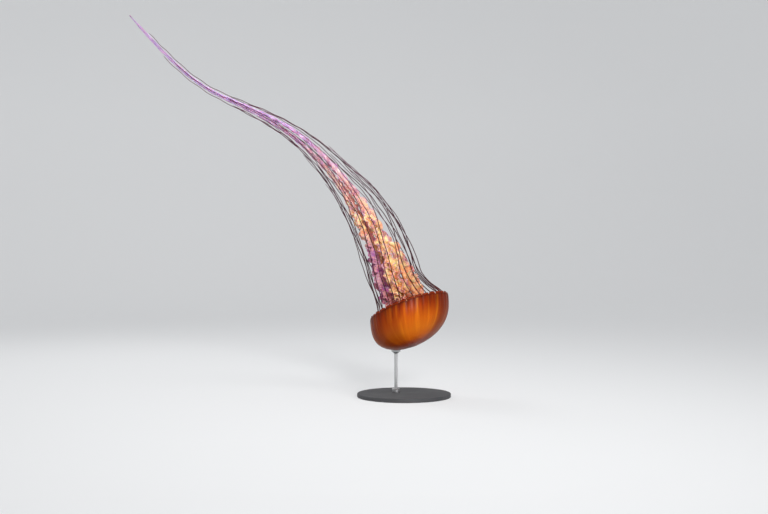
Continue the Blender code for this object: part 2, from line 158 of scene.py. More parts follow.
def to_world(local):
    """Rows of points of the bell's own frame, in the world."""
    matrix = np.array(BELL_FRAME)
    return local @ matrix[:3, :3].T + matrix[:3, 3]


def bell_point(radius, angle, height):
    """A place on the bell, in the world: height is 0 at the rim and less towards the apex."""
    x = radius * np.cos(angle) + BELL_SKEW * np.minimum(height, 0.0)
    return to_world(np.stack([x, radius * np.sin(angle), height], axis=-1))


def unit(v):
    return v / np.linalg.norm(v, axis=-1, keepdims=True)


class Train:
    """The line that arms and tentacles follow, with a frame that doesn't twist."""

    SAMPLES = 48

    def __init__(self):
        heights = np.array(INNER_HEIGHTS)
        drift = -INNER_DRIFT * (heights / INNER_DEPTH) ** 2
        inner = to_world(np.stack([drift, 0 * heights, heights], axis=-1))
        centre = to_world(np.zeros((1, 3)))
        knots = np.concatenate([inner, centre, np.array(TRAIN_COURSE)])
        knots = np.concatenate([knots, [2 * knots[-1] - knots[-2]]])
        t = (np.arange(self.SAMPLES) / self.SAMPLES)[:, None]
        spans = []
        for a, b, c, d in zip(knots, knots[1:], knots[2:], knots[3:]):
            spans.append(0.5 * (2 * b + (c - a) * t + (2 * a - 5 * b + 4 * c - d) * t ** 2
                                + (3 * b - a - 3 * c + d) * t ** 3))
        self.points = np.concatenate(spans + [knots[-2:-1]])
        steps = np.linalg.norm(np.diff(self.points, axis=0), axis=1)
        run = np.concatenate([[0.0], np.cumsum(steps)])
        origin = (len(inner) - 1) * self.SAMPLES
        self.stations = run - run[origin]
        self.tangents = unit(np.gradient(self.points, axis=0))
        self.sides = np.empty_like(self.points)
        for order in (range(origin, len(run)), range(origin, -1, -1)):
            side = np.array(BELL_FRAME)[:3, 0]
            for k in order:
                side = unit(side - self.tangents[k] * side.dot(self.tangents[k]))
                self.sides[k] = side

    def frame(self, s):
        """Centres, tangents and the two cross directions at stations s."""
        def at(rows):
            return np.stack([np.interp(s, self.stations, row) for row in rows.T], axis=-1)
        centre = at(self.points)
        tangent = unit(at(self.tangents))
        side = at(self.sides)
        side = unit(side - tangent * (side * tangent).sum(-1, keepdims=True))
        return centre, tangent, side, np.cross(tangent, side)

    def place(self, s, radius, angle, aside=0.0):
        """Places at a radius and angle round the line, or round one that runs aside of it."""
        centre, _, side, other = self.frame(s)
        return (centre + side * (radius * np.cos(angle) - aside)[..., None]
                + other * (radius * np.sin(angle))[..., None])


TRAIN = Train()


def turn(s):
    """How far arms and tentacles have twisted round the line by stations s."""
    return COURSE_TURN * np.maximum(s, 0.0) / ARM_END


# ---- mesh helpers

def grid_faces(rows, columns):
    """Quads of a grid of points, closed round its columns."""
    r, c = np.meshgrid(np.arange(rows - 1), np.arange(columns), indexing="ij")
    right = (c + 1) % columns
    quads = np.stack([r * columns + c, r * columns + right,
                      (r + 1) * columns + right, (r + 1) * columns + c], axis=-1)
    return [tuple(quad) for quad in quads.reshape(-1, 4)]


def closed_faces(rows, columns):
    """Faces of a closed skin: a wrapped grid, and at each end a fan to a pole that follows it."""
    faces = grid_faces(rows, columns)
    pole, last = rows * columns, (rows - 1) * columns
    for k in range(columns):
        after = (k + 1) % columns
        faces.append((after, k, pole))
        faces.append((last + k, last + after, pole + 1))
    return faces


def add_object(name, data, place=(0, 0, 0), rotation=(0, 0, 0)):
    made = bpy.data.objects.new(name, data)
    made.location = place
    made.rotation_euler = rotation
    bpy.context.scene.collection.objects.link(made)
    return made


def add_mesh(name, points, faces, material):
    mesh = bpy.data.meshes.new(name)
    mesh.from_pydata(points.reshape(-1, 3).tolist(), [], faces)
    mesh.validate()
    mesh.shade_smooth()
    mesh.materials.append(material)
    return add_object(name, mesh)


def make_piece(name, points, faces, material, nodes, attributes=None):
    """A smooth mesh object that rides on the frame and stands for its CAD nodes."""
    piece = add_mesh(name, points, faces, material)
    for key, values in (attributes or {}).items():
        kind, field = ("FLOAT_VECTOR", "vector") if values.ndim > 1 else ("FLOAT", "value")
        made = piece.data.attributes.new(key, kind, "POINT")
        made.data.foreach_set(field, values.astype(np.float32).ravel())
    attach(piece, "root")
    if nodes:
        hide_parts(*nodes)


def capped_tube(rings):
    """Points and faces of a tube through rings, closed by a fan at each end."""
    points = np.vstack([rings.reshape(-1, 3), rings[0].mean(0), rings[-1].mean(0)])
    return points, [face[::-1] for face in closed_faces(*rings.shape[:2])]


# ---- materials

def tint(*channels):
    """A screen colour, 0 to 255 a channel, as linear light."""
    shares = [channel / 255 for channel in channels]
    return (*(v / 12.92 if v <= 0.04045 else ((v + 0.055) / 1.055) ** 2.4 for v in shares), 1.0)


class Paint:
    """A material's node tree, with short calls that add and link its nodes."""

    def __init__(self, name, **sockets):
        self.material = bpy.data.materials.new(name)
        self.material.use_nodes = True
        self.tree = self.material.node_tree
        self.shader = self.tree.nodes["Principled BSDF"]
        for key, value in sockets.items():
            self.shader.inputs[key.replace("_", " ")].default_value = value

    def add(self, kind, inputs, **settings):
        node = self.tree.nodes.new(kind)
        for key, value in settings.items():
            setattr(node, key, value)
        for key, value in inputs.items():
            if isinstance(value, bpy.types.NodeSocket):
                self.tree.links.new(value, node.inputs[key])
            else:
                node.inputs[key].default_value = value
        return node

    def attribute(self, name, output="Fac"):
        return self.add("ShaderNodeAttribute", {}, attribute_name=name).outputs[output]

    def place(self):
        return self.add("ShaderNodeTexCoord", {}).outputs["Object"]

    def scaled(self, vector, scale):
        return self.add("ShaderNodeMapping", {"Vector": vector, "Scale": scale}).outputs[0]

    def noise(self, vector, scale, detail=3.0, roughness=0.55):
        inputs = {"Vector": vector, "Scale": scale, "Detail": detail, "Roughness": roughness}
        return self.add("ShaderNodeTexNoise", inputs).outputs["Fac"]

    def cells(self, vector, scale):
        inputs = {"Vector": vector, "Scale": scale}
        return self.add("ShaderNodeTexVoronoi", inputs).outputs["Distance"]

    def math(self, operation, a, b=0.0):
        return self.add("ShaderNodeMath", {0: a, 1: b}, operation=operation).outputs[0]

    def times(self, a, b):
        return self.math("MULTIPLY", a, b)

    def spread(self, value, low, high, to_low=0.0, to_high=1.0):
        """Value moved from one range to another, and held inside it."""
        inputs = {0: value, 1: low, 2: high, 3: to_low, 4: to_high}
        return self.add("ShaderNodeMapRange", inputs).outputs[0]

    def mix(self, share, a, b):
        """Colour a, with this share of colour b."""
        return self.add("ShaderNodeMix", {0: share, 6: a, 7: b}, data_type="RGBA").outputs[2]

    def ramp(self, value, *stops):
        """A colour that runs through stops, each a position and a screen colour."""
        node = self.add("ShaderNodeValToRGB", {"Fac": value})
        ramp = node.color_ramp
        while len(ramp.elements) < len(stops):
            ramp.elements.new(0.5)
        for element, (position, *colour) in zip(ramp.elements, stops):
            element.position = position
            element.color = tint(*colour)
        return node.outputs["Color"]

    def feed(self, socket, value):
        self.tree.links.new(value, self.shader.inputs[socket])

    def bump(self, height, strength, distance):
        inputs = {"Height": height, "Strength": strength, "Distance": distance}
        self.feed("Normal", self.add("ShaderNodeBump", inputs).outputs[0])


WIDE_STREAKS = (5.0, 5.0, 0.9)  # streaks for each unit of direction round the bell and up it
FINE_STREAKS = (22.0, 22.0, 1.6)
GRANULES = 420.0  # to the metre
TONE_LEAD = 0.14  # how much further out a peach arm keeps its near colours
RING_TURNS = 2600.0  # radians of the tentacles' rings to the metre
PAINT_GRAIN = 900.0  # grains of the stand's paint to the metre
BRUSHING = (30.0, 30.0, 2600.0)  # lines of the brushed steel to the metre


def bell_outside(paint, height, wide, fine, dots):
    """Dark margin, golden middle and dark apex, painted glow and painted shade, with streaks, furrow
    lines and granules.
    """
    colour = paint.ramp(height, (0.00, 84, 24, 8), (0.04, 124, 38, 8),
                        (0.13, 160, 61, 9), (0.30, 182, 85, 11),
                        (0.46, 189, 97, 14), (0.62, 186, 89, 12),
                        (0.80, 134, 44, 5), (1.00, 92, 24, 4))
    # Painted glow: brighter gold in patches after the wide streaks, over the half of the dome nearer
    # the rim.
    painted_glow = paint.times(paint.spread(wide, 0.50, 0.68, 0.0, 0.5),
                       paint.spread(height, 0.45, 0.75, 1.0, 0.0))
    colour = paint.mix(painted_glow, colour, tint(236, 142, 26))
    # Painted shade at the bell's sides, low side and raised rim, a little weaker in the wide streaks.
    painted_shade = paint.times(paint.attribute("painted_shade"), paint.spread(wide, 0.30, 0.62, 1.0, 0.8))
    colour = paint.mix(painted_shade, colour, tint(100, 28, 4))
    streak = paint.times(paint.spread(fine, 0.50, 0.70), paint.spread(height, 0.05, 0.50, 0.75, 0.0))
    colour = paint.mix(streak, colour, tint(120, 40, 6))
    line = paint.times(paint.attribute("furrow"), paint.spread(height, 0.0, 0.24, 0.7, 0.0))
    colour = paint.mix(line, colour, tint(78, 24, 12))
    return paint.mix(dots, colour, tint(128, 58, 20))


def bell_inside(paint, height, fine):
    """Duller and browner than the outside, with pale gonad folds."""
    colour = paint.ramp(height, (0.00, 120, 46, 20), (0.12, 150, 74, 30),
                        (0.45, 164, 96, 44), (0.80, 176, 104, 54),
                        (1.00, 196, 112, 60))
    colour = paint.mix(paint.spread(fine, 0.5, 0.68, 0.0, 0.6), colour, tint(108, 48, 26))
    return paint.mix(paint.attribute("gonad"), colour, tint(226, 178, 142))


def bell_material():
    """Golden orange jelly, with darker lappets round its margin."""
    paint = Paint("bell_jelly", IOR=1.36, Subsurface_Weight=0.35, Subsurface_Scale=0.012,
                  Subsurface_Radius=(1.0, 0.45, 0.12), Specular_IOR_Level=0.09)
    height = paint.attribute("profile")
    ray = paint.attribute("radial", "Vector")
    wide = paint.noise(paint.scaled(ray, WIDE_STREAKS), 1.0, 2.0)
    fine = paint.noise(paint.scaled(ray, FINE_STREAKS), 1.0, 3.0, 0.6)
    dots = paint.spread(paint.cells(paint.place(), GRANULES), 0.16, 0.30, 0.35, 0.0)
    colour = paint.mix(paint.attribute("inside"), bell_outside(paint, height, wide, fine, dots),
                       bell_inside(paint, height, fine))
    lappet = paint.ramp(paint.attribute("lappet"),
                        (0.00, 80, 22, 8), (0.45, 124, 43, 12),
                        (0.78, 98, 30, 12), (1.00, 56, 14, 10))
    paint.feed("Base Color", paint.mix(paint.attribute("rim"), colour, lappet))
    paint.bump(paint.math("ADD", paint.times(dots, 0.6), fine), 0.25, 0.0012)
    paint.feed("Roughness", paint.spread(fine, 0.3, 0.7, 0.26, 0.42))
    return paint.material


def arm_material():
    """Arm tissue: amber at the mouth, then cream and peach, then lilac, with mauve parts; painted
    shade in the frills' hollows and partly in the mauve.
    """
    paint = Paint("oral_arm_tissue", IOR=1.36, Subsurface_Weight=0.45, Subsurface_Scale=0.006,
                  Subsurface_Radius=(1.0, 0.5, 0.4), Coat_Weight=0.12, Coat_Roughness=0.2)
    edge = paint.attribute("across")
    along = paint.attribute("along")
    tone_and_shade = paint.attribute("tone_and_shade")
    place = paint.place()
    outward = paint.spread(along, 0.0, 0.9)

    near = paint.ramp(edge, (0.0, 214, 132, 84), (0.30, 244, 192, 128),
                      (0.70, 255, 226, 166), (0.93, 255, 218, 172),
                      (1.0, 240, 178, 184))
    far = paint.ramp(edge, (0.0, 128, 50, 90), (0.08, 208, 152, 196),
                     (0.45, 228, 188, 226), (0.85, 240, 212, 242),
                     (1.0, 204, 158, 222))
    late = paint.math("SUBTRACT", along, paint.times(tone_and_shade, TONE_LEAD))
    colour = paint.mix(paint.spread(late, 0.32, 0.80), near, far)

    share = paint.math("ADD", paint.spread(paint.noise(place, 34.0, 3.0), 0.50, 0.64, 0.0, 0.7),
                       paint.spread(tone_and_shade, 0.0, 1.0, 0.0, 0.1))
    peach = paint.ramp(outward, (0.0, 234, 146, 98), (0.4, 238, 166, 132),
                       (1.0, 222, 176, 216))
    colour = paint.mix(share, colour, peach)

    # Mauve in patches, and over most of the left arm, where it is partly painted shade.
    share = paint.math("ADD", paint.spread(paint.noise(place, 21.0, 2.0), 0.47, 0.36, 0.0, 0.75),
                       paint.spread(tone_and_shade, 0.0, -1.0, 0.0, 0.75))
    mauve = paint.ramp(outward, (0.0, 162, 80, 142), (0.5, 188, 124, 186),
                       (1.0, 204, 162, 222))
    colour = paint.mix(paint.math("MINIMUM", share, 1.0), colour, mauve)

    # Painted shade in the frills' hollows: darker rose brown, dark magenta on the mauve arm and lilac
    # further out, strongest where the sheet lies lowest.
    hollow_shade = paint.mix(paint.spread(tone_and_shade, 0.0, -1.0), tint(190, 84, 56), tint(116, 42, 96))
    hollow_shade = paint.mix(paint.spread(along, 0.3, 0.8), hollow_shade, tint(172, 108, 168))
    depth = paint.times(paint.spread(paint.attribute("relief"), 0.5, 0.0, 0.0, 0.7),
                        paint.spread(along, 0.60, 1.00, 1.0, 0.45))
    colour = paint.mix(depth, colour, hollow_shade)
    colour = paint.mix(paint.spread(along, -0.03, 0.10, 0.7, 0.0), colour, tint(206, 104, 52))
    fleck = paint.noise(place, 160.0, 3.0)
    colour = paint.mix(paint.spread(fleck, 0.52, 0.68, 0.0, 0.35), colour, tint(252, 222, 186))
    paint.feed("Base Color", colour)
    paint.bump(fleck, 0.4, 0.0012)
    paint.feed("Roughness", paint.spread(fleck, 0.3, 0.7, 0.32, 0.52))
    return paint.material


def tentacle_material():
    """Dark maroon, a little paler and pinker to the tip, with fine rings."""
    paint = Paint("tentacle", IOR=1.36, Subsurface_Weight=0.1, Subsurface_Scale=0.002,
                  Subsurface_Radius=(1.0, 0.3, 0.3), Specular_IOR_Level=0.3)
    colour = paint.ramp(paint.attribute("along"), (0.0, 84, 22, 18), (0.06, 58, 12, 22),
                        (0.45, 62, 14, 32), (1.0, 98, 34, 66))
    blotch = paint.noise(paint.place(), 60.0, 2.0)
    colour = paint.mix(paint.spread(blotch, 0.45, 0.65, 0.0, 0.5), colour, tint(40, 8, 20))
    paint.feed("Base Color", colour)
    paint.bump(paint.math("SINE", paint.times(paint.attribute("metres"), RING_TURNS)), 0.12, 0.0002)
    paint.feed("Roughness", paint.spread(blotch, 0.3, 0.7, 0.28, 0.45))
    return paint.material


def paint_material():
    """Satin dark grey powder coat on the stand's base."""
    paint = Paint("stand_paint", IOR=1.5)
    place = paint.place()
    cloud = paint.noise(place, 14.0, 3.0)
    grey = paint.mix(paint.spread(cloud, 0.3, 0.7), tint(48, 48, 50), tint(60, 60, 63))
    paint.feed("Base Color", grey)
    paint.bump(paint.noise(place, PAINT_GRAIN, 2.0), 0.15, 0.0002)
    paint.feed("Roughness", paint.spread(cloud, 0.3, 0.7, 0.52, 0.64))
    return paint.material


def steel_material():
    """Brushed steel of the rod, with fine lines round it."""
    paint = Paint("stand_steel", IOR=2.5, Metallic=1.0)
    lines = paint.noise(paint.scaled(paint.place(), BRUSHING), 1.0, 2.0)
    paint.feed("Base Color", paint.mix(lines, tint(176, 176, 178), tint(206, 206, 206)))
    paint.bump(lines, 0.1, 0.0001)
    paint.feed("Roughness", paint.spread(lines, 0.3, 0.7, 0.24, 0.40))
    return paint.material


# ---- bell

LAPPET_COLUMNS = 12
OUTER_ROWS = 62
LAPPET_ROWS = 10
INNER_ROWS = 104
ROW_CROWDING = 1.25  # how far the rows crowd towards the margin
LAPPET_LENGTH = (0.92, 0.08)  # mean share of the full length, and its scatter
LAPPET_CURL = 1.5  # how late a lappet leans in
LAPPET_ROUND = (0.0006, 0.0008)  # by which its tip's middle is higher, and its inner face lower
RIM_FADE = (0.022, 0.020)  # share of the way up to which the rim's colour reaches, outside and inside
INNER_CREASE = 0.0035  # how much deeper the clefts are on the inside
NOTCH = (0.0020, 0.30)  # depth of the margin's dip at a sense organ, and its width in lappets
FURROW = (0.0014, 0.30, 0.34)  # depth, width in half lappets, and how far up the bell they run
OCTANT_SWELL = (0.0006, 0.7)  # height of a swell in each octant, and how far up it runs
UNEVENNESS = 0.0004  # of the outside as a whole
MUSCLE_RINGS = (0.0005, 0.0085)  # height and pitch
MUSCLE_FADE = (0.62, 0.52)  # shares of the way up where they are gone, and full
SEPTA = (16, 0.0010, 0.07)  # number of grooves under the dome, depth, and width as a share
SEPTA_FADE = ((0.0, 0.08), (0.78, 0.68))  # shares of the way up over which they start, and end
GONAD_FRILL = (0.25, 60, 300)  # share of a gonad's height, and its waves round and outwards
GONAD_RING = 0.060  # distance of each gonad fold's middle from the mouth's axis
GONAD_RADIUS = 0.021
GONAD_WIDTH = 0.0050
GONAD_HEIGHT = 0.0055

# Painted shade on the bell: how far it darkens the colour, and the cosines
# of the direction round the bell where that starts and is full
LIMB = (0.86, 0.58, 0.92)  # at both sides
LOW_SIDE = (0.62, -0.02, -0.47)  # on the whole of the lower side
HIGH_RIM = (0.80, 0.10, 0.70)  # at the rim of the raised side
HIGH_RIM_FADE = (0.38, 0.04)  # shares of the way up where that is gone, and full
APEX_FADE = (0.97, 0.67)  # and the same for all three


def dome_rows(radius, depth, margin, count):
    """Radius, height and share of the way up, for rows along the dome."""
    low = math.asin((margin / depth) ** (BELL_POWER / 2))
    fine = np.linspace(low, math.pi / 2, 4000)
    radii = radius * np.cos(fine)
    heights = -depth * np.sin(fine) ** (2 / BELL_POWER)
    run = np.concatenate([[0.0], np.cumsum(np.hypot(np.diff(radii), np.diff(heights)))])
    share = np.linspace(0, 1, count + 1) ** ROW_CROWDING
    radii = np.interp(share * run[-1], run, radii)
    heights = np.interp(share * run[-1], run, heights)
    return list(zip(radii, heights, share))[:-1]


def margin_columns():
    """Each column's angle, lappet length, furrow and notch of a sense organ."""
    place = np.arange(LAPPETS * LAPPET_COLUMNS) / LAPPET_COLUMNS  # counted in lappets
    across = np.abs(2 * (place % 1.0) - 1)
    mean, scatter = LAPPET_LENGTH
    lengths = np.array([mean + scatter * math.sin(phase(k)) for k in range(LAPPETS)])
    lobe = np.sqrt(np.maximum(1 - across ** 4, 0)) * lengths[place.astype(int)]
    furrow = np.exp(-((1 - across) / FURROW[1]) ** 2)
    octant = LAPPETS // SENSE_ORGANS
    from_organ = np.abs((place + octant / 2) % octant - octant / 2)
    notch = NOTCH[0] * np.exp(-(from_organ / NOTCH[1]) ** 2)
    return 2 * math.pi * place / LAPPETS, lobe, furrow, notch


def bell_rings(lobe, notch):
    """Rings from the outer apex over the lappets to the inner apex, with their marks."""
    rings = []
    reach = MARGIN_DEPTH + LAPPET_OVER

    def ring(radius, height, lift=0.0, **marks):
        """Adds a ring that follows the lappets by a share, lift, of their length."""
        marks = {"profile": 0.0, "rim": 0.0, "lappet": 0.0, "inside": 0.0} | marks
        marks = {key: value + 0 * lobe for key, value in marks.items()}
        marks["lappet"] = marks["lappet"] * lobe
        height = height + lift * lobe * reach - notch * marks["rim"]
        rings.append({"radius": radius + 0 * lobe, "height": height, **marks})

    outer_rows = dome_rows(BELL_RADIUS, BELL_DEPTH, MARGIN_DEPTH, OUTER_ROWS)
    for radius, height, share in reversed(outer_rows):
        ring(radius, height, profile=share, rim=rise(share, RIM_FADE[0], 0))
    outer_margin = outer_rows[0][0]
    tip_radius = BELL_RADIUS - LAPPET_INSET
    for k in range(1, LAPPET_ROWS + 1):
        t = k / LAPPET_ROWS
        radius = outer_margin + (tip_radius - outer_margin) * t ** LAPPET_CURL
        ring(radius, -MARGIN_DEPTH, t, rim=1.0, lappet=t)
    past, back = LAPPET_ROUND
    ring(tip_radius - 0.5 * LAPPET_EDGE, -MARGIN_DEPTH + past, 1.0, rim=1.0, lappet=1.0, inside=0.5)
    inner_margin = BELL_RADIUS - WALL_RIM
    for k in range(LAPPET_ROWS, -1, -1):
        t = k / LAPPET_ROWS
        radius = inner_margin + (tip_radius - LAPPET_EDGE - inner_margin) * t
        ring(radius, -MARGIN_DEPTH - back, t, rim=1.0, lappet=t, inside=1.0)
    inner_rows = dome_rows(inner_margin, INNER_DEPTH, MARGIN_DEPTH + INNER_CREASE, INNER_ROWS)
    for radius, height, share in inner_rows:
        ring(radius, height, profile=share, rim=rise(share, RIM_FADE[1], 0), inside=1.0)
    return {key: np.stack([made[key] for made in rings]) for key in rings[0]}


def outward_normals(points, inside):
    """Normals that point out of the jelly, on its outside and inside alike."""
    along_rows = np.gradient(points, axis=0)
    round_columns = (np.roll(points, -1, axis=1) - np.roll(points, 1, axis=1)) / 2
    normal = unit(np.cross(round_columns, along_rows))
    middle = np.array([[-0.5 * BELL_SKEW * BELL_DEPTH, 0, -0.3 * BELL_DEPTH]])
    outward = (normal * (points - to_world(middle))).sum(-1)
    return normal * (np.sign(outward) * np.where(inside > 0.5, -1.0, 1.0))[..., None]


def bell_relief(angle, ring, furrow, gonad):
    """How far the skin stands out: furrows and swells outside, muscle and gonads inside."""
    profile, inside = ring["profile"], ring["inside"]
    outside = 1 - inside
    depth, _, up = FURROW
    lift = -depth * furrow * rise(profile, up, 0) * outside
    height, up = OCTANT_SWELL
    lift = lift + height * np.cos(SENSE_ORGANS * angle) * rise(profile, up, 0) * outside
    lift = lift + UNEVENNESS * np.sin(5 * angle + 1.0) * np.sin(7 * profile + 2.0) * outside
    height, pitch = MUSCLE_RINGS
    run = profile * (BELL_RADIUS + 0.6 * INNER_DEPTH)
    muscle = np.sin(2 * math.pi * run / pitch) * rise(profile, *MUSCLE_FADE)
    lift = lift + height * muscle * inside * (1 - ring["rim"])
    count, depth, width = SEPTA
    across = np.abs((angle * count / (2 * math.pi) + 0.5) % 1.0 - 0.5)
    groove = np.exp(-(across / width) ** 2)
    for fade in SEPTA_FADE:
        groove = groove * rise(profile, *fade)
    lift = lift - depth * groove * inside
    share, turns, outwards = GONAD_FRILL
    frill = 1 + share * np.sin(turns * angle + outwards * ring["radius"])
    return lift + GONAD_HEIGHT * gonad * frill


def gonad_folds(radius, angle):
    """Four frilled horseshoe folds under the dome, open towards the mouth."""
    total = 0 * radius
    for k in range(ARMS):
        heading = ARM_ANGLE + 2 * math.pi * (k + 0.5) / ARMS
        x = radius * np.cos(angle - heading) - GONAD_RING
        y = radius * np.sin(angle - heading)
        away = np.hypot(x, y * 0.8)
        waver = 0.0022 * np.sin(9 * np.arctan2(y, x))
        fold = np.exp(-((away - GONAD_RADIUS - waver) / GONAD_WIDTH) ** 2)
        total = total + fold * rise(x, -0.9 * GONAD_RADIUS, 0.008 - 0.9 * GONAD_RADIUS)
    return np.clip(total, 0, 1)


def bell_painted_shade(angle, profile):
    """Painted shade on the jelly: at its sides, on its low side, and at the raised rim."""
    side = np.cos(angle)  # 1 on the raised side and -1 on the low one
    clear = 1 - LIMB[0] * rise(np.abs(side), *LIMB[1:])
    clear = clear * (1 - LOW_SIDE[0] * rise(side, *LOW_SIDE[1:]))
    clear = clear * (1 - HIGH_RIM[0] * rise(side, *HIGH_RIM[1:]) * rise(profile, *HIGH_RIM_FADE))
    return (1 - clear) * rise(profile, *APEX_FADE)


def build_bell():
    """One closed skin: outer dome, lappets, and the inner dome with its folds."""
    column_angle, lobe, furrow, notch = margin_columns()
    ring = bell_rings(lobe, notch)
    angle = column_angle + 0 * ring["radius"]
    gonad = gonad_folds(ring["radius"], angle) * ring["inside"]
    points = bell_point(ring["radius"], angle, ring["height"])
    lift = bell_relief(angle, ring, furrow, gonad)
    points = points + outward_normals(points, ring["inside"]) * lift[..., None]

    poles = bell_point(np.zeros(2), np.zeros(2), -np.array([BELL_DEPTH, INNER_DEPTH]))
    fields = {key: ring[key] for key in ("profile", "inside", "rim", "lappet")}
    # Among these marks is the painted shade of the bell's sides, low side and raised rim.
    fields |= {"furrow": furrow * (1 - ring["inside"]), "gonad": gonad,
               "painted_shade": bell_painted_shade(angle, ring["profile"])}
    at_poles = {"profile": [1.0, 1.0], "inside": [0.0, 1.0]}
    attributes = {key: np.append(field, at_poles.get(key, [0.0, 0.0]))
                  for key, field in fields.items()}
    radial = np.stack([np.cos(angle), np.sin(angle), ring["profile"]], axis=-1)
    attributes["radial"] = np.vstack([radial.reshape(-1, 3), np.zeros((2, 3))])
    make_piece("bell_skin", np.vstack([points.reshape(-1, 3), poles]),
               closed_faces(*angle.shape), BELL, ["bell"], attributes)


# ---- oral arms

FRILL = ((-0.070, 0.0030), (0.000, 0.0100), (0.250, 0.0115), (0.500, 0.0080),
         (0.800, 0.0060), (1.060, 0.0034), (1.570, 0.0012))  # height, by distance s
FRILL_WAVES = ((0.027, 0.020, 0.85, 0.8), (0.0125, 0.012, 0.32, 1.8))
# pitch, its growth, share of the height, and how close to the edge the waves keep
FRILL_DRIFT = (0.9, 0.13, 1.4)  # swing of the waves, its pitch, and their slant to the edge
FRILL_SWELL = (0.72, 0.28, 0.19)  # mean height, its slow change, and the pitch of that
FRILL_LEAN = 0.45  # how far the waves lean along the arm
SCALLOP = (0.09, 0.031, 0.02)  # share by which the edge swings in and out, pitch, growth
BUNCH = (0.15, 0.043, 0.02)  # share by which an arm swells and narrows, pitch, growth
TIP_TAPER = (0.3, 0.08)  # width left at the tip, and the length that narrows to it
LUMPS = ((0.014, 0.0015), (0.030, 0.0038))  # pitch and height
LUMP_COLUMN = 0.045  # below this radius of the arms' column, lumps shrink with it
LUMP_THICKNESS = 0.0015  # and below this thickness of the tissue
EDGE_THINNING = 0.62  # share of its thickness that a wing loses to its edge
ROLLED_EDGE = (0.0011, 0.95, 0.05, 0.04)  # thickness, place, width, and its least full column
EDGE_CROWDING = 0.85  # how far the columns crowd towards the edge
WING_COLUMNS = 49
CREST_COLUMNS = 23
CRESTS = ((0.0, 0.97), (-12.0, 0.88), (12.0, 0.90))  # direction in degrees, share of the width
CREST_SWING = 0.85  # share of the wings' frills
SHELL_CLEARANCE = 0.0045  # between arms and the tentacles' shell
SLACK = (1.12, 0.16, 0.002)  # most reach: share of the column, its growth, and a little more
SLACK_GROWTH = (0.5, 0.7)  # distances s over which it grows
SECTOR = math.pi / ARMS
LANE_CLEARANCE = 0.0016  # between an arm and the side of its own sector
ARM_TONES_AND_SHADE = (0.0, 1.0, 0.4, -1.0)  # of each arm: -1 is mauve and 1 is peach; partly real tone and partly painted shade, darkest on the left arm
TONE_CHANGE = ((0.24, 1.0), (0.34, 0.0), (0.50, -0.4), (0.62, -0.8))  # its factor, by s
STATION_STEPS = ((ARM_START - 0.012, 0.5, 0.0024), (0.5, 1.0, 0.0032), (1.0, ARM_END, 0.0045))


def waves(s, pitch, growth=0.0):
    """The angle of waves along the train, whose pitch may grow outwards."""
    if not growth:
        return 2 * math.pi * s / pitch
    return 2 * math.pi * (np.log(1 + growth * (s - ARM_START) / pitch) / growth)


def soft_limit(value, limit):
    """Value as it is up to most of the limit, then eased so that it never passes it."""
    knee = 0.75
    share = np.abs(value) / limit
    held = np.where(share < knee, share, knee + (1 - knee) * np.tanh((share - knee) / (1 - knee)))
    return np.sign(value) * held * limit


def sheet_reach(index, layer, s, tip_share):
    """How far from the train's line a sheet's edge reaches at stations s."""
    mean, change = ARM_SWELL
    outer = lookup(ARM_COLUMN, s) * tip_share
    outer = outer * (mean + change * np.sin(waves(s, ARM_SWELL_PITCH) + phase(index, 3)))
    left, length = TIP_TAPER
    outer = outer * (left + (1 - left) * rise(s, ARM_END, ARM_END - length))
    share, pitch, growth = BUNCH
    return outer * (1 + share * np.sin(waves(s, pitch, growth) + phase(index, 5) + 0.8 * layer))


def frills(index, layer, s, w, hand, swing):
    """Moves of a sheet square to itself and along the arm, by its two frills."""
    frill = lookup(FRILL, s)
    swing_out, swing_pitch, slant = FRILL_DRIFT
    mean, change, swell_pitch = FRILL_SWELL
    move, shift = 0.0, 0.0
    for number, (pitch, growth, share, power) in enumerate(FRILL_WAVES):
        start = phase(index, layer + 2, number) + 2.1 * hand
        drift = swing_out * np.sin(waves(s, swing_pitch) + start) + slant * (1 - w)
        swell = mean + change * np.sin(waves(s, swell_pitch) + 2 * start)
        turns = waves(s, pitch, growth) + start + drift
        size = frill * share * swell * w ** power * swing
        move = move + size * np.sin(turns)
        shift = shift + FRILL_LEAN * size * np.cos(turns)
    return move, shift


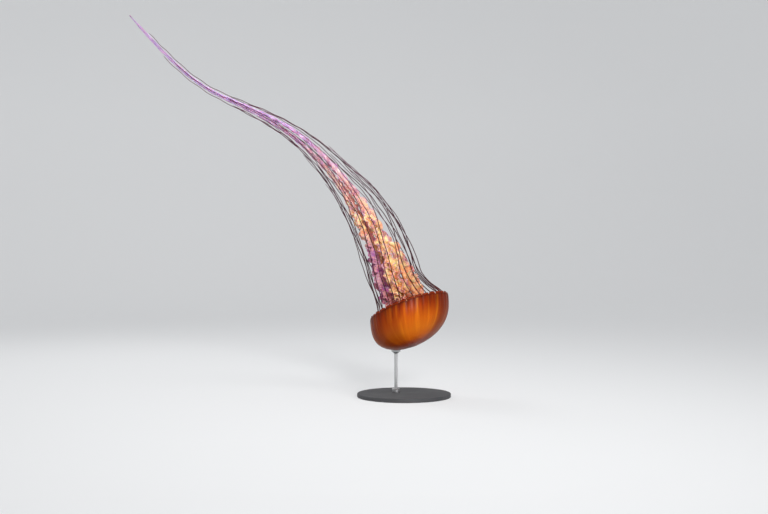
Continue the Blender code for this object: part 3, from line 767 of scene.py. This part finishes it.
def frilled_sheet(index, layer, stations, across, tip_angle, tip_share, swing):
    """Places of one arm's sheet, in rows along it, and how raised each one is."""
    s = stations[:, None]
    hand = np.where(across < 0, -1.0, 1.0)[None]
    w = np.abs(across)[None]
    column = lookup(ARM_COLUMN, s)
    keel = ARM_KEEL * column
    outer = sheet_reach(index, layer, s, tip_share)
    tip_x = outer * math.cos(tip_angle) - keel
    tip_y = hand * outer * math.sin(tip_angle)
    length = np.hypot(tip_x, tip_y)

    share, pitch, growth = SCALLOP
    scallop = waves(s, pitch, growth) + phase(index, layer) + 2.0 * hand
    width = w * (1 + share * w ** 3 * np.sin(scallop))
    ruffle = lookup(ARM_RUFFLE, s)
    lead = np.where(hand < 0, phase(index, 1), phase(index, 3)) + 1.7 * layer
    lead = lead + RUFFLE_LEAD * (1 - w) / (1 - ARM_MIDDLE)
    turns = 2 * math.pi * s / (RUFFLE_PITCH + RUFFLE_GROWTH * np.maximum(s, 0))
    move, shift = frills(index, layer, s, w, hand, swing)
    move = move + ruffle * w ** 1.2 * np.sin(turns + lead) * swing
    x = keel + tip_x * width - tip_y / length * hand * move
    y = tip_y * width + tip_x / length * hand * move

    room = lookup(TENTACLE_SHELL, s) - lookup(ARM_ASIDE, s) - SHELL_CLEARANCE
    most, growth, more = SLACK
    slack = most + growth * rise(s, *SLACK_GROWTH)
    reach = soft_limit(np.hypot(x, y), np.minimum(room, slack * column + more))
    lane = SECTOR - ARM_WANDER - LANE_CLEARANCE / np.maximum(reach, 0.004)
    bearing = soft_limit(np.arctan2(y, x), np.maximum(lane, 0.1))
    moved = np.clip(s + shift, ARM_START - 0.02, ARM_END + 0.004)
    wander = ARM_WANDER * np.sin(waves(s, ARM_WANDER_PITCH) + phase(index, 6))
    heading = ARM_ANGLE + 2 * math.pi * index / ARMS + turn(moved) + wander
    highest = lookup(FRILL, s) * w ** 0.8 + ruffle * w ** 1.2 + 0.0006
    places = TRAIN.place(moved, reach, heading + bearing, lookup(ARM_ASIDE, moved))
    return places, np.clip(0.5 + 0.5 * move / highest, 0, 1)


def puffs(points, pitch):
    """Smooth lumps in space, mostly between -1 and 1, from a few crossing waves."""
    total = 0
    for k in range(6):
        way = [math.sin(phase(k, 1)), math.cos(phase(k, 2)), math.sin(phase(k, 3) + 1)]
        total = total + np.sin(points @ unit(way) * (2 * math.pi / pitch) + phase(k, 4))
    return total / 3.2


def thickened(middle, thickness, room):
    """Rings round the section of a skin on both faces of a sheet, lumpy where it has room."""
    normal = unit(np.cross(np.gradient(middle, axis=0), np.gradient(middle, axis=1)) + 1e-12)
    lumps = sum(height * puffs(middle, pitch) for pitch, height in LUMPS) * room
    half = (0.5 * thickness)[..., None] * normal
    front = middle + half + normal * lumps[..., None]
    back = middle - half + normal * lumps[..., None]
    return np.concatenate([front, back[:, ::-1]], axis=1)


def build_sheets(name, index, s, sheets):
    """One piece of some of an arm's sheets, each a closed skin."""
    column = lookup(ARM_COLUMN, s)[:, None]
    lump_room = np.minimum(column / LUMP_COLUMN, 1.0) ** 1.5
    roll_height, roll_place, roll_width, full_column = ROLLED_EDGE
    points, faces, marks = [], [], []
    base = 0
    for layer, across, tip_angle, tip_share, swing in sheets:
        middle, relief = frilled_sheet(index, layer, s, across, tip_angle, tip_share, swing)
        w = np.abs(across)[None]
        roll = roll_height * np.exp(-((w - roll_place) / roll_width) ** 2)
        thickness = lookup(ARM_THICKNESS, s)[:, None] * (1 - EDGE_THINNING * w)
        thickness = thickness + roll * np.minimum(column / full_column, 1.0)
        room = lump_room * np.minimum(thickness / LUMP_THICKNESS, 1.0)
        made, quads = capped_tube(thickened(middle, thickness, room))
        points.append(made)
        faces.extend(tuple(base + v for v in f) for f in quads)
        base += len(made)
        front = np.stack(np.broadcast_arrays(w, s[:, None], relief))
        both = np.concatenate([front, front[:, :, ::-1]], axis=2).reshape(3, -1)
        marks.append(np.hstack([both, [[0, 0], [s[0], s[-1]], [0.5, 0.5]]]))
    edge, along, relief = np.hstack(marks)
    # relief drives painted shade in the frills' hollows, and the tone is partly painted shade
    attributes = {"across": edge, "along": along, "relief": relief,
                  "tone_and_shade": ARM_TONES_AND_SHADE[index] * lookup(TONE_CHANGE, along)}
    nodes = [f"oral_arm_{index + 1}_length_{k}" for k in (1, 2)]
    make_piece(name, np.concatenate(points), faces, ARM, nodes, attributes)


def build_arm(index):
    """One oral arm: two wide frilled wings, and three narrower crests between them."""
    s = np.concatenate([np.arange(*steps) for steps in STATION_STEPS] + [[ARM_END]])
    wing = np.linspace(-1, 1, WING_COLUMNS)
    wing = np.sign(wing) * np.abs(wing) ** EDGE_CROWDING
    crest = np.linspace(0, 1, CREST_COLUMNS) ** EDGE_CROWDING
    build_sheets(f"oral_arm_{index + 1}", index, s, [(0, wing, ARM_SPREAD, 1.0, 1.0)])
    build_sheets(f"oral_arm_{index + 1}_crests", index, s, [
        (layer, crest, math.radians(direction), share, CREST_SWING)
        for layer, (direction, share) in enumerate(CRESTS, 1)])


# ---- tentacles

TENTACLE_SIDES = 8
TENTACLE_START = -0.009  # s of the first ring after the root
NEAR_STEPS = (0.060, 0.0025)  # where closer rings end, and their spacing
TENTACLE_STEP = 0.005
ROOT_INSET = 0.0035  # of the root from the bell's widest, and past the clefts
ROOT_START = -0.014
ROOT_FLARE = (0.0011, 0.002)  # growth of the radius at the root, and where it ends
TIP_ROUNDING = (0.95, 0.85, 0.65, 0.35)
TENTACLE_SETTLE = ((-0.014, -0.047), (0.0, 0.0), (0.15, 0.5), (0.25, 0.82), (0.36, 1.0), (1.6, 1.0))
TENTACLE_LEAVE = ((-0.014, 0.0), (0.0, 0.0), (0.08, 0.5), (0.13, 0.84), (0.19, 1.0), (1.6, 1.0))
TENTACLE_QUIVER = ((-0.014, 0.0), (0.05, 0.0), (0.20, 0.0005), (0.6, 0.0010), (1.6, 0.0012))
QUIVER_PITCHES = (0.083, 0.067)  # in and out, and round the train
QUIVER_ROUND = 0.7  # size of the second as a share of the first


def cleft_angle(index):
    """Angle of the cleft in which a tentacle grows."""
    clefts = [k for k in range(LAPPETS) if k % (LAPPETS // SENSE_ORGANS)]
    return 2 * math.pi * clefts[index] / LAPPETS


def tentacle_course(index, s):
    """Centres of a tentacle at stations s, in its own lane of the shell."""
    cleft = cleft_angle(index)
    even = 2 * math.pi * (index + 0.5) / TENTACLES
    settle = lookup(TENTACLE_SETTLE, s)
    sway = TENTACLE_SWAY * np.sin(waves(s, TENTACLE_SWAY_PITCH) + phase(index, 1))
    angle = cleft + (even - cleft) * settle + turn(s) + sway * settle
    swell = 0.5 - 0.5 * np.cos(waves(s, TENTACLE_STRAY_PITCH) + phase(index, 2))
    least, spread = TENTACLE_STRAY
    stray = least + spread * (0.5 + 0.5 * math.sin(phase(index, 5)))
    radius = lookup(TENTACLE_SHELL, s) * (1 + stray * swell * lookup(TENTACLE_LEAVE, s))
    quiver = lookup(TENTACLE_QUIVER, s)
    out_pitch, round_pitch = QUIVER_PITCHES
    radius = radius + quiver * np.sin(waves(s, out_pitch) + phase(index, 3))
    turned = np.sin(waves(s, round_pitch) + phase(index, 4))
    return TRAIN.place(s, radius, angle + QUIVER_ROUND * quiver / radius * turned)


def tentacle_length(index):
    least, spread = LONG_TENTACLE if index % 6 == 1 else SHORT_TENTACLE
    return least + spread * (0.5 + 0.5 * math.sin(phase(index)))


def tube(centres, radii, sides):
    """Rings of points square to a line of centres."""
    side = np.array([0.0, 1.0, 0.0])
    angles = 2 * math.pi * np.arange(sides)[:, None] / sides
    rings = []
    for centre, tangent, radius in zip(centres, unit(np.gradient(centres, axis=0)), radii):
        side = unit(side - tangent * side.dot(tangent))
        other = np.cross(tangent, side)
        rings.append(centre + radius * (np.cos(angles) * side + np.sin(angles) * other))
    return np.array(rings)


def build_tentacle(index):
    """One tentacle, from the margin to its tip."""
    length = tentacle_length(index)
    near_end, near_step = NEAR_STEPS
    s = np.concatenate([np.arange(TENTACLE_START, near_end, near_step),
                        np.arange(near_end, length, TENTACLE_STEP), [length]])
    root = np.array([[BELL_RADIUS - ROOT_INSET], [cleft_angle(index)], [-MARGIN_DEPTH - ROOT_INSET]])
    root = bell_point(*root)
    centres = np.concatenate([root, tentacle_course(index, s)])
    s = np.concatenate([[ROOT_START], s])
    share = np.clip(s, 0, None) / length
    radii = TENTACLE_ROOT_RADIUS + (TENTACLE_TIP_RADIUS - TENTACLE_ROOT_RADIUS) * share
    growth, end = ROOT_FLARE
    radii = radii + growth * rise(s, end, ROOT_START)
    radii[-len(TIP_ROUNDING):] *= np.array(TIP_ROUNDING)
    made, faces = capped_tube(tube(centres, radii, TENTACLE_SIDES))
    along = np.concatenate([np.repeat(share, TENTACLE_SIDES), [0.0, 1.0]])
    metres = np.concatenate([np.repeat(s, TENTACLE_SIDES), [s[0], s[-1]]])
    nodes = [f"tentacle_{index + 1:02d}_length_{k}" for k in (1, 2)]
    make_piece(f"tentacle_{index + 1:02d}", made, faces, TENTACLE, nodes,
               {"along": along, "metres": metres})


# ---- mouth stalk and rhopalia

MANUBRIUM_ROWS = 60
MANUBRIUM_COLUMNS = 128
MANUBRIUM_FOOT = 0.038  # radius where it grows out of the dome
MANUBRIUM_HEIGHT = 0.0357  # of the stalk along the train's line
MANUBRIUM_OUTLINE = ((0.0, 0.030), (0.22, 0.0235), (0.55, 0.0235), (0.82, 0.0300),
                     (0.93, 0.0325), (0.965, 0.0315), (1.0, 0.0270))  # radius by share of the rows
MANUBRIUM_FLARE = 0.30  # share of the rows over which the foot becomes the stalk
MANUBRIUM_BRIM = 0.93  # and at which it reaches the lip
MANUBRIUM_FOLDS = (20, 0.03)  # number of fine folds, and their share of the radius
MOUTH_LOBES = 0.10  # swell towards each arm
MOUTH_DEPTH = 0.004  # also the radius of the mouth's bottom
RHOPALIUM = (0.0015, 0.0024)  # half of its width and of its length
RHOPALIUM_INSET = (0.0034, 0.0005)  # from the bell's widest, and past the clefts


def build_manubrium():
    """The mouth's stalk: out of the dome, narrow, then open in a frilled lip."""
    columns = MANUBRIUM_COLUMNS
    angle = 2 * math.pi * np.arange(columns) / columns
    wide = MANUBRIUM_FOOT / (BELL_RADIUS - WALL_RIM)
    depth = INNER_DEPTH * (1 - wide ** 2) ** (1 / BELL_POWER) + 0.001
    foot = bell_point(MANUBRIUM_FOOT + 0 * angle, angle, -depth + 0 * angle)
    top = ARM_START - 0.0003
    count, size = MANUBRIUM_FOLDS
    rings = []
    for v in np.linspace(0, 1, MANUBRIUM_ROWS + 1):
        s = top - MANUBRIUM_HEIGHT * (1 - min(v / MANUBRIUM_BRIM, 1.0) ** 0.9)
        lobes = 1 + MOUTH_LOBES * rise(v, 0, 1) * np.cos(ARMS * (angle - ARM_ANGLE))
        folds = 1 + size * rise(v, 0.3, 0.8) * np.sin(count * angle + 3 * v)
        radius = lookup(MANUBRIUM_OUTLINE, v) * lobes * folds
        blend = rise(v, 0, MANUBRIUM_FLARE)
        rings.append(foot * (1 - blend) + TRAIN.place(np.full(columns, s), radius, angle) * blend)
    bottom = TRAIN.place(np.full(columns, top - MOUTH_DEPTH), MOUTH_DEPTH + 0 * angle, angle)
    lip = rings[-1]
    rings.extend(lip * (1 - t) + bottom * t for t in (0.35, 0.7, 1.0))
    made, faces = capped_tube(np.array(rings))
    across = np.full(len(made), 0.25)
    across[-1] = 0.0
    make_piece("manubrium_skin", made, faces, ARM, ["manubrium"],
               {"across": across, "along": np.full(len(made), ARM_START)})


def build_rhopalia():
    """The sense organs, small knobs in the margin's deeper clefts."""
    columns, rows = 16, 10
    around = 2 * math.pi * np.arange(columns) / columns
    up = np.linspace(-math.pi / 2, math.pi / 2, rows + 2)[1:-1, None]
    width, length = RHOPALIUM
    inset, past = RHOPALIUM_INSET
    points, faces = [], []
    for k in range(SENSE_ORGANS):
        heading = 2 * math.pi * k / SENSE_ORGANS
        x = (BELL_RADIUS - inset) * math.cos(heading) + width * np.cos(up) * np.cos(around)
        y = (BELL_RADIUS - inset) * math.sin(heading) + width * np.cos(up) * np.sin(around)
        z = -MARGIN_DEPTH - past + length * np.sin(up) + 0 * x
        x = x + BELL_SKEW * np.minimum(z, 0)
        made, quads = capped_tube(to_world(np.stack([x, y, z], axis=-1)))
        faces.extend(tuple(len(points) * len(made) + v for v in f) for f in quads)
        points.append(made)
    make_piece("rhopalia", np.concatenate(points), faces, SENSOR, [])


# ---- studio

FLOOR_RADIUS = 6.0
COVE = 2.0  # radius of the bend from floor to wall
WALL_TOP = 7.0
BACKDROP_SIDES = 96
BACKDROP_GLOW = 0.32  # even light from the backdrop itself, as in a light tent
WORLD_GLOW = 0.32
CAMERA_PLACE = (-0.0726, -3.869, 0.507)
CAMERA_LENS = 50  # in millimetres, with this sensor
CAMERA_SENSOR = 36


def build_backdrop():
    """A pale floor that glows faintly and curves up into a wall all round."""
    bend = np.linspace(0, math.pi / 2, 24)
    outline = [(0.001, 0.0)]
    outline += [(FLOOR_RADIUS + COVE * math.sin(t), COVE - COVE * math.cos(t)) for t in bend]
    outline.append((FLOOR_RADIUS + COVE, WALL_TOP))
    around = 2 * math.pi * np.arange(BACKDROP_SIDES) / BACKDROP_SIDES
    points = np.array([[(r * math.cos(a), r * math.sin(a), z) for a in around] for r, z in outline])
    studio = Paint("studio", Base_Color=(0.50, 0.50, 0.50, 1.0), Roughness=0.9,
                   Emission_Color=(0.96, 0.98, 1.0, 1.0), Emission_Strength=BACKDROP_GLOW)
    faces = grid_faces(len(outline), BACKDROP_SIDES)
    backdrop = add_mesh("backdrop", points, faces, studio.material)


def area_light(name, place, target, size, power, spread=math.pi):
    """A round soft box; a narrow spread keeps its light off the floor."""
    data = bpy.data.lights.new(name, "AREA")
    data.shape = "DISK"
    data.size = size
    data.energy = power
    data.spread = spread
    aim = (Vector(target) - Vector(place)).to_track_quat("-Z", "Y")
    add_object(name, data, place, aim.to_euler())


def build_lights():
    area_light("key", (1.1, -5.3, 2.5), (-0.2, 0, 0.60), 1.5, 27, math.radians(55))
    area_light("top", (0.7, -1.2, 3.2), (-0.2, 0, 0.5), 1.4, 34)
    area_light("rim", (-1.8, 1.8, 2.6), (-0.2, 0, 0.6), 1.2, 20)
    world = bpy.data.worlds.new("studio")
    world.use_nodes = True
    background = world.node_tree.nodes["Background"]
    background.inputs["Color"].default_value = (0.95, 0.96, 1.0, 1.0)
    background.inputs["Strength"].default_value = WORLD_GLOW
    bpy.context.scene.world = world
    bpy.context.scene.view_settings.view_transform = "Standard"


def build_camera():
    """A level camera where the photo's frame puts the animal."""
    data = bpy.data.cameras.new("camera")
    data.lens = CAMERA_LENS
    data.sensor_width = CAMERA_SENSOR
    bpy.context.scene.camera = add_object("camera", data, CAMERA_PLACE, (math.pi / 2, 0, 0))


# ---- the model

BELL = bell_material()
ARM = arm_material()
TENTACLE = tentacle_material()
SENSOR = Paint("rhopalium", Base_Color=tint(214, 168, 120), Roughness=0.35).material

build_bell()
build_manubrium()
build_rhopalia()
for arm_number in range(ARMS):
    build_arm(arm_number)
for tentacle_number in range(TENTACLES):
    build_tentacle(tentacle_number)

for node, material in (("stand_base", paint_material()), ("stand_rod", steel_material())):
    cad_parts[node].data.materials.clear()
    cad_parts[node].data.materials.append(material)

build_backdrop()
build_lights()
build_camera()
